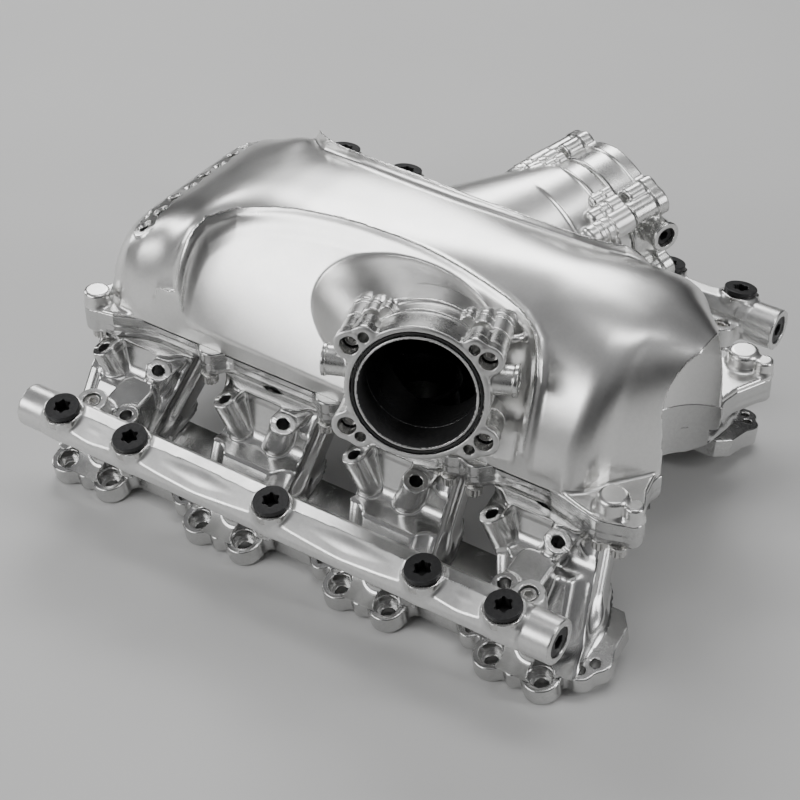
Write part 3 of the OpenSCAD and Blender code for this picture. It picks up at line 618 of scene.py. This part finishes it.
HR = 0.95
for i in range(4):
    for side, mirror, shift, off in (("right", False, 0.0, 0.0), ("left", True, -29.3, 29.3)):
        p = PORTS[i]; t = TOPS[i] + off
        lo = (min(p - 46, t - 56), -165, -3); hi = (max(p + 46, t + 60), -28, 68)
        later(lambda f=runner_field(p, t), lo=lo, hi=hi: surface(f, lo, hi, HR),
              lambda data, side=side, i=i, mirror=mirror, shift=shift:
              piece(f"runner_{side}_{i + 1}_body", data, runner_mat, [f"runner_{side}_{i + 1}"], mirror=mirror, shift=shift))

def flange_outline(X, V):
    f = polygon(X, V, [(-190, -66), (206, -66), (214, -56), (216, -30), (204, -8.5), (196, -9.5), (-190, -9.5)])
    for p in PORTS:
        pair = np.minimum(disc(X - p - 17.64, V, 11.8), disc(X - p + 17.64, V, 11.8))
        pair = smin(pair, disc(X - p, V - 3.4, 5.2), 5.0)
        pair = np.minimum(pair, polygon(X, V, [(p - 19, -20), (p + 19, -20), (p + 17.64, 7.0), (p + 9, 6.2), (p - 9, 6.2), (p - 17.64, 7.0)]))
        pair = smin(pair, polygon(X, V, [(p - 29.4, -24), (p + 29.4, -24), (p + 29.4, -2), (p - 29.4, -2)]), 2.0)
        f = smin(f, pair, 5.5)
        if p > -100:
            f = smin(f, disc(X - (p - 39.1), V + 10, 7.0), 4.0)
    f = smin(f, disc(X - 204, V + 16, 8.5), 3.0)
    f = smin(f, disc(X - 208.5, V + 27, 10.2), 3.0)
    return f

def flange_field(X, V, W):
    o = flange_outline(X, V)
    f = smax(o, np.maximum(-13.4 - W, W), 1.0)
    # rounded step lower down the wall
    for p in PORTS:
        for s in (-1, 1):
            x = X - p - s * 17.64
            f = smax(f, -np.maximum(disc(x, V, 7.5), -8.4 - W), 0.5)
            f = np.maximum(f, -disc(x, V, 4.3))
        f = np.maximum(f, -(disc(X - p, V + 38, 20.0)))
        if p > -100:
            f = smax(f, -np.maximum(disc(X - (p - 39.1), V + 10, 2.6), -9 - W), 0.4)
    f = smax(f, -disc(X - 204, V + 15.6, 3.0), 0.4)
    f = smax(f, -disc(X - 209.5, V + 24, 3.3), 0.4)
    return f

HF = 0.85
SIDES = (("right", False, 0.0), ("left", True, -29.3))
later(lambda: surface(flange_field, (-206, -68, -16), (222, 14, 2), HF),
      lambda data: [piece(f"head_flange_{side}_plate", data, flange_mat, [f"head_flange_{side}"], M=FLANGE_M, mirror=mirror, shift=shift)
                    for side, mirror, shift in SIDES])

# ------------------------------------------------------------------ fuel rail
RAIL_Y, RAIL_Z, RAIL_MID = -173.0, 55.4, 6.6
PLUG_X = [-166.1, -110.4, 0.0, 110.4, 166.1]

def lean_frame(x, y, z):
    return frame_matrix([(1, 0, 0), (0, CT, ST), (0, -ST, CT)], (x, y, z))

def lean_local(X, Y, Z, x, y, z):
    yy, zz = Y - y, Z - z
    return X - x, yy * CT + zz * ST, -yy * ST + zz * CT

T_FACET = Table([-194, -176, -166, -140, -110, -85, -55, -25, 0, 25, 55, 85, 110, 140, 166, 176, 207],
                [15.6, 15.2, 14.2, 12.2, 14.2, 12.6, 11.6, 12.9, 14.4, 12.9, 11.6, 12.6, 14.2, 12.2, 14.2, 15.2, 15.6], 4)
T_TOP = Table([-194, -178, -166, -140, -110, -85, -55, -25, 0, 25, 55, 85, 110, 140, 166, 178, 207],
              [15.4, 15.0, 14.4, 13.6, 14.4, 13.9, 13.3, 13.9, 14.4, 13.9, 13.3, 13.9, 14.4, 13.6, 14.4, 15.0, 15.4], 6)

def rail_field(X, Y, Z):
    y, z = Y - RAIL_Y, Z - RAIL_Z
    def plane(angle, off):
        a = math.radians(angle)
        return y * math.cos(a) + z * math.sin(a) - off
    x = X - RAIL_MID
    barrel = np.sqrt(y * y + z * z) - 14.4 + 2.4 * np.clip((172 - np.abs(x)) / 6.0, 0, 1)
    prism = np.maximum(plane(128, T_FACET(x)), plane(92, T_TOP(x)))
    for ang, off in ((160, 15.2), (184, 15.6), (222, 14.6), (262, 12.8), (302, 14.0), (340, 14.6), (12, 14.4), (48, 14.3)):
        prism = smax(prism, plane(ang, off), 0.6)
    prism = smax(prism, np.abs(x) - 181, 3.0)
    f = smin(barrel, prism, 0.8)
    f = smax(f, np.maximum(-194 - X, X - 207), 1.0)
    for px in PLUG_X:
        lx, ly, lz = lean_local(X, Y, Z, RAIL_MID + px, -174.5, 45.7)
        seat = smax(disc(lx, ly, 12.9), np.maximum(lz - 24.6, 8 - lz), 0.9)
        f = smin(f, seat, 3.0)
    for s in (-1, 1):
        lx, ly, lz = lean_local(X, Y, Z, RAIL_MID + s * 166.4, -152.3, 60.5)
        ear = smax(np.minimum(disc(lx, ly, 10.5), box2(lx, ly + 12, 10.0, 12.0, 2.0)), np.maximum(lz, -14 - lz), 0.9)
        f = smin(f, ear, 3.0)
    for p in PORTS:
        ci, si = math.cos(math.radians(42)), math.sin(math.radians(42))
        o = np.array([p - 14, -173, 55.4]); d = np.array([0, -si, ci])
        f = smin(f, cylinder(X, Y, Z, o - 22 * d, o - 5 * d, 10.5, edge=1.0), 3.0)
    for s in (-1, 1):
        lx, ly, lz = lean_local(X, Y, Z, RAIL_MID + s * 166.4, -152.3, 60.5)
        f = smax(f, -np.maximum(disc(lx, ly, 6.1), -7 - lz), 0.5)
        f = np.maximum(f, -disc(lx, ly, 3.3) - np.where(lz > -16, 0, 50))
    for px in PLUG_X:
        lx, ly, lz = lean_local(X, Y, Z, RAIL_MID + px, -174.5, 45.7)
        f = smax(f, -np.maximum(disc(lx, ly, 9.5), 10 - lz), 0.4)
    rr = np.sqrt(y * y + z * z)
    f = smax(f, -np.maximum(rr - 9.95, np.minimum(200.5 - X, X + 187.5) * 1.0), 0.5)
    return f

HRL = 0.85
later(lambda: surface(rail_field, (-197, -192, 36), (210, -138, 78), HRL),
      lambda data: [piece(f"fuel_rail_{side}_body", data, rail_mat, [f"fuel_rail_{side}"], mirror=mirror, shift=shift)
                    for side, mirror, shift in SIDES])

# ------------------------------------------------------------------ inlet adapters
def adapter_outline(x, y):
    f = disc(x, y, 44.0)
    ax, ay = np.abs(x), np.abs(y)
    f = smin(f, disc(ax - 41.4, ay - 26.8, 9.3), 5.0)
    f = smin(f, disc(ax - 33.1, ay - 32.8, 7.4), 4.0)
    return f

def adapter_field(x, y, w):
    ax, ay = np.abs(x), np.abs(y)
    r = np.sqrt(x * x + y * y)
    f = smax(adapter_outline(x, y), np.maximum(w, -7.5 - w), 0.7)
    f = smin(f, smax(r - 42.9, np.maximum(w, -25.8 - w), 0.8), 1.5)
    f = smin(f, np.sqrt((r - 43.0) ** 2 + (w + 24.4) ** 2) - 1.3, 0.6)
    f = smin(f, smax(disc(ax - 41.4, ay - 26.8, 8.9), np.maximum(w, -25.8 - w), 1.0), 1.8)
    f = smin(f, smax(disc(ax - 33.1, ay - 32.8, 6.9), np.maximum(w, -21 - w), 2.0), 1.8)
    # sensor stubs with a thin rim
    st = smax(disc(y - 10.85, w + 10.5, 10.25), ax - 58.9, 1.0)
    rim = smax(disc(y - 10.85, w + 10.5, 10.25), np.abs(ax - 57.6) - 1.3, 0.6)
    st = smin(smax(disc(y - 10.85, w + 10.5, 9.4), ax - 58.9, 0.8), rim, 0.8)
    f = smin(f, st, 2.0)
    f = smax(f, -(r - 35.7), 0.5)
    f = smax(f, -np.maximum(np.abs(r - 39.0) - 1.5, -1.9 - w), 0.3)
    f = smax(f, -np.maximum(disc(ax - 41.4, ay - 26.8, 5.8), -16 - w), 0.5)
    f = smax(f, -disc(ax - 41.4, ay - 26.8, 3.3), 0.2)
    f = smax(f, -np.maximum(disc(ax - 33.0, ay - 33.0, 3.4), -16 - w), 0.4)
    f = smax(f, -np.maximum(disc(y - 10.85, w + 10.5, 6.6), 46 - ax), 0.4)
    return f

# Bore faces take the painted-shade colour (1), the top face the milled finish (2)
def adapter_pick(C):
    r = np.hypot(C[:, 0], C[:, 1])
    return np.where(r < 36.1, 1, np.where(C[:, 2] > -0.3, 2, 0))

HA = 0.7
later(lambda: surface(adapter_field, (-61, -47, -28), (61, 47, 2), HA),
      lambda data: [piece(f"throttle_adapter_{side}_ring", data, adapter_mat, [f"throttle_adapter_{side}"], M=NECK_M, mirror=mirror, mats=[interior_shade_mat, face_mat], pick=adapter_pick)
                    for side, mirror, _ in SIDES])

run_queue()

# ------------------------------------------------------------------ small turned parts
def small(f, lo, hi, h):
    return surface(f, lo, hi, h * (1.0), eps=0.05)

def socket(x, y, r, lobes=6, lr=1.35):
    f = disc(x, y, r)
    for k in range(lobes):
        a = 2 * math.pi * k / lobes
        f = smin(f, disc(x - (r - 0.1) * math.cos(a), y - (r - 0.1) * math.sin(a), lr), 0.3)
    return f

def hexagon(x, y, apothem):
    f = None
    for k in range(3):
        a = math.pi * k / 3
        g = np.abs(x * math.cos(a) + y * math.sin(a)) - apothem
        f = g if f is None else np.maximum(f, g)
    return f

def plug_field(x, y, z):
    f = smax(disc(x, y, 11.35), np.maximum(z - 3.4, -z), 0.45)
    f = smin(f, smax(disc(x, y, 9.3), np.maximum(z - 1, -8 - z), 0.3), 0.2)
    return smax(f, -np.maximum(socket(x, y, 4.6), -5 - z), 0.3)

def collar_field(x, y, z):
    g = smax(smax(disc(x, y, 13.4), hexagon(x, y, 12.4), 0.8), np.maximum(z, -6.0 - z), 0.7)
    return smax(g, -disc(x, y, 9.4), 0.2)

def screw_field(x, y, z):
    f = smax(disc(x, y, 4.95), np.maximum(z - 6, -z), 0.5)
    f = smin(f, smax(disc(x, y, 2.9), np.maximum(z - 1, -18 - z), 0.3), 0.3)
    return smax(f, -np.maximum(hexagon(x, y, 2.5), 2.6 - z), 0.2)

def twelve_field(x, y, z):
    f = smax(disc(x, y, 5.8), np.maximum(z - 1.6, -z), 0.4)
    star = None
    for k in range(3):
        a = math.pi / 6 * k
        u = x * math.cos(a) + y * math.sin(a); v = -x * math.sin(a) + y * math.cos(a)
        g = box2(u, v, 3.85, 3.85)
        star = g if star is None else np.minimum(star, g)
    f = smin(f, smax(star, np.maximum(z - 7.6, -z), 0.35), 0.2)
    return smax(f, -np.maximum(disc(x, y, 1.6), 6.4 - z), 0.3)

def end_plug_field(x, y, z):
    f = smax(disc(x, y, 9.85), np.maximum(z - 6.5, -z), 0.5)
    return smax(f, -np.maximum(hexagon(x, y, 4.2), 1.5 - z), 0.3)

def stub_plug_field(x, y, z):
    f = smax(disc(x, y, 6.45), np.maximum(z - 8.4, -z), 0.5)
    return smax(f, -np.maximum(hexagon(x, y, 3.0), 3 - z), 0.3)

plug_data = small(plug_field, (-12.5, -12.5, -9), (12.5, 12.5, 4.6), 0.36)
collar_data = small(collar_field, (-15, -15, -7.2), (15, 15, 1.2), 0.42)
screw_data = small(screw_field, (-6, -6, -19), (6, 6, 7), 0.3)
twelve_data = small(twelve_field, (-7, -7, -1), (7, 7, 8.6), 0.3)
end_data = small(end_plug_field, (-11, -11, -1.2), (11, 11, 7.6), 0.36)
stub_data = small(stub_plug_field, (-7.5, -7.5, -1.2), (7.5, 7.5, 9.6), 0.36)

# Picks the faces down in a socket, which take the painted-shade colour
def socket_pick(depth, r):
    def pick(C):
        return ((C[:, 2] < depth) & (np.hypot(C[:, 0], C[:, 1]) < r)).astype(np.int32)
    return pick

for side, mirror, shift in (("right", False, 0.0), ("left", True, -29.3)):
    for k, px in enumerate(PLUG_X):
        M = lean_frame(RAIL_MID + px, -174.5, 45.7)
        top = M.copy(); top[:3, 3] += M[:3, 2] * 25.2
        rest = M.copy(); rest[:3, 3] += M[:3, 2] * 24.9
        piece(f"rail_plug_{side}_{k + 1}", plug_data, plug_mat, [f"rail_plugs_{side}"] if k == 0 else [], M=top, mirror=mirror, shift=shift, mats=[socket_shade_mat], pick=socket_pick(2.6, 6.6))
        piece(f"rail_collar_{side}_{k + 1}", collar_data, steel_mat, [], M=rest, mirror=mirror, shift=shift)
    for k, s in enumerate((-1, 1)):
        M = lean_frame(RAIL_MID + s * 166.4, -152.3, 60.5); M[:3, 3] += M[:3, 2] * -7
        piece(f"rail_screw_{side}_{k + 1}", screw_data, steel_mat, [f"rail_screws_{side}"] if k == 0 else [], M=M, mirror=mirror, shift=shift)
        x0, d = ((-186.5, -1) if s < 0 else (199.5, 1))
        M = frame_matrix([(0, 1, 0), (0, 0, d), (d, 0, 0)], (x0, RAIL_Y, RAIL_Z))
        piece(f"rail_end_plug_{side}_{k + 1}", end_data, plug_mat, [f"rail_end_plugs_{side}"] if k == 0 else [], M=M, mirror=mirror, shift=shift, mats=[socket_shade_mat], pick=socket_pick(5.8, 5.2))
for side, mirror in (("right", False), ("left", True)):
    n = 0
    for sx in (-1, 1):
        for sy in (-1, 1):
            n += 1
            L = np.eye(4); L[:3, 3] = (sx * 41.4, sy * 26.8, -16)
            piece(f"adapter_bolt_{side}_{n}", screw_data, steel_mat, [f"adapter_bolts_{side}"] if n == 1 else [], M=NECK_M @ L, mirror=mirror)
        L = frame_matrix([(0, 1, 0), (0, 0, sx), (sx, 0, 0)], (sx * 48, 10.85, -10.5))
        piece(f"stub_plug_{side}_{(sx + 3) // 2}", stub_data, plug_mat, [f"stub_plugs_{side}"] if sx < 0 else [], M=NECK_M @ L, mirror=mirror, mats=[socket_shade_mat], pick=socket_pick(7.8, 4.2))
n = 0
for x in (-203, -109, -15, 79, 97, 186, 199):
    for s in (-1, 1):
        n += 1
        M = frame_matrix([(1, 0, 0), (0, -1, 0), (0, 0, -1)], (x, -91, UNDER))
        piece(f"base_bolt_{n}", twelve_data, steel_mat, ["base_bolts"] if n == 1 else [], M=M, mirror=(s > 0))

# ------------------------------------------------------------------ CAD nodes that stay
# The velocity stacks take the painted-shade colour of the bores
KEEP = {"plenum_seal": seal_mat, "port_seals": seal_mat, "velocity_stacks": interior_shade_mat, "injectors": body_mat, "injector_seals": seal_mat,
        "adapter_seal": seal_mat, "throttle_seal": seal_mat, "base_dowels": steel_mat}
for name, o in NODES.items():
    if o.hide_render:
        continue
    mat = next((m for k, m in KEEP.items() if name.startswith(k)), steel_mat)
    o.data.materials.clear(); o.data.materials.append(mat)

# ------------------------------------------------------------------ stage, light, camera
m, t, b = new_material("floor_pale")
co = t.nodes.new("ShaderNodeTexCoord").outputs["Object"]
t.links.new(mix_colour(t, ramp(t, noise(t, co, 3.0, 3.0), 0, 1, 0.3, 0.7), (0.62, 0.62, 0.615), (0.66, 0.66, 0.655)), b.inputs["Base Color"])
t.links.new(ramp(t, noise(t, co, 900.0, 3.0), 0.55, 0.65), b.inputs["Roughness"])
me = bpy.data.meshes.new("floor")
S = 6.0
pts, fcs = [], []
N1 = 24
for i in range(N1 + 1):
    for j in range(N1 + 1):
        pts.append((-S + 2 * S * i / N1, -S + 2 * S * j / N1, 0.0))
for i in range(N1):
    for j in range(N1):
        a = i * (N1 + 1) + j
        fcs.append((a, a + N1 + 1, a + N1 + 2, a + 1))
me.from_pydata(pts, [], fcs); me.materials.append(m)
floor = bpy.data.objects.new("floor", me); bpy.context.scene.collection.objects.link(floor)

world = bpy.data.worlds.new("studio"); bpy.context.scene.world = world
world.use_nodes = True
wt = world.node_tree; wt.nodes.clear()
wo = wt.nodes.new("ShaderNodeOutputWorld"); bg = wt.nodes.new("ShaderNodeBackground")
wt.links.new(bg.outputs[0], wo.inputs[0])
wc = wt.nodes.new("ShaderNodeTexCoord"); sep = wt.nodes.new("ShaderNodeSeparateXYZ")
wt.links.new(wc.outputs["Generated"], sep.inputs[0])
cr = wt.nodes.new("ShaderNodeValToRGB")
cr.color_ramp.elements[0].position = 0.0; cr.color_ramp.elements[0].color = (0.03, 0.03, 0.031, 1)
cr.color_ramp.elements[1].position = 1.0; cr.color_ramp.elements[1].color = (0.34, 0.34, 0.345, 1)
e = cr.color_ramp.elements.new(0.35); e.color = (0.06, 0.06, 0.061, 1)
wt.links.new(sep.outputs["Z"], cr.inputs[0]); wt.links.new(cr.outputs[0], bg.inputs[0])
bg.inputs[1].default_value = 0.9

def area(name, loc, target, sx, sy, power, colour=(1, 1, 1)):
    l = bpy.data.lights.new(name, "AREA"); l.shape = "RECTANGLE"; l.size = sx; l.size_y = sy
    l.energy = power; l.color = colour
    o = bpy.data.objects.new(name, l); bpy.context.scene.collection.objects.link(o)
    z = np.array(loc, float) - np.array(target, float); z /= np.linalg.norm(z)
    x = np.cross((0, 0, 1), z); x /= max(np.linalg.norm(x), 1e-6); y = np.cross(z, x)
    M = Matrix.Identity(4)
    for i in range(3):
        M[i][0], M[i][1], M[i][2], M[i][3] = x[i], y[i], z[i], loc[i]
    o.matrix_world = M
    return o

aim = (0.0, 0.0, 0.11)
area("side_softbox", (-0.95, -1.75, 1.05), aim, 1.7, 0.75, 24)
area("back_softbox", (-0.95, 1.35, 1.45), aim, 1.15, 0.7, 20)
area("left_strip", (-1.95, -0.1, 0.7), aim, 0.45, 0.9, 9)
area("right_strip", (1.75, 0.35, 0.95), aim, 0.35, 1.1, 11)
area("top_strip", (0.25, 0.1, 1.9), aim, 0.35, 1.0, 6)

cam = bpy.data.cameras.new("camera"); co = bpy.data.objects.new("camera", cam)
bpy.context.scene.collection.objects.link(co)
az, el = math.radians(33.7), math.radians(38.04)
back = np.array([math.sin(az) * math.cos(el), -math.cos(az) * math.cos(el), math.sin(el)])
right = np.array([math.cos(az), math.sin(az), 0.0]); up = np.cross(back, right)
C = np.array([629.30111144 + FX, -972.253837, 936.27088929 + FZ]) / 1000.0
M = Matrix.Identity(4)
for i in range(3):
    M[i][0], M[i][1], M[i][2], M[i][3] = right[i], up[i], back[i], C[i]
co.matrix_world = M
cam.sensor_width = 36.0; cam.lens = 2174.3 / 800.0 * 36.0
cam.clip_start = 0.05; cam.clip_end = 30.0
bpy.context.scene.camera = co

bpy.context.view_layer.update()
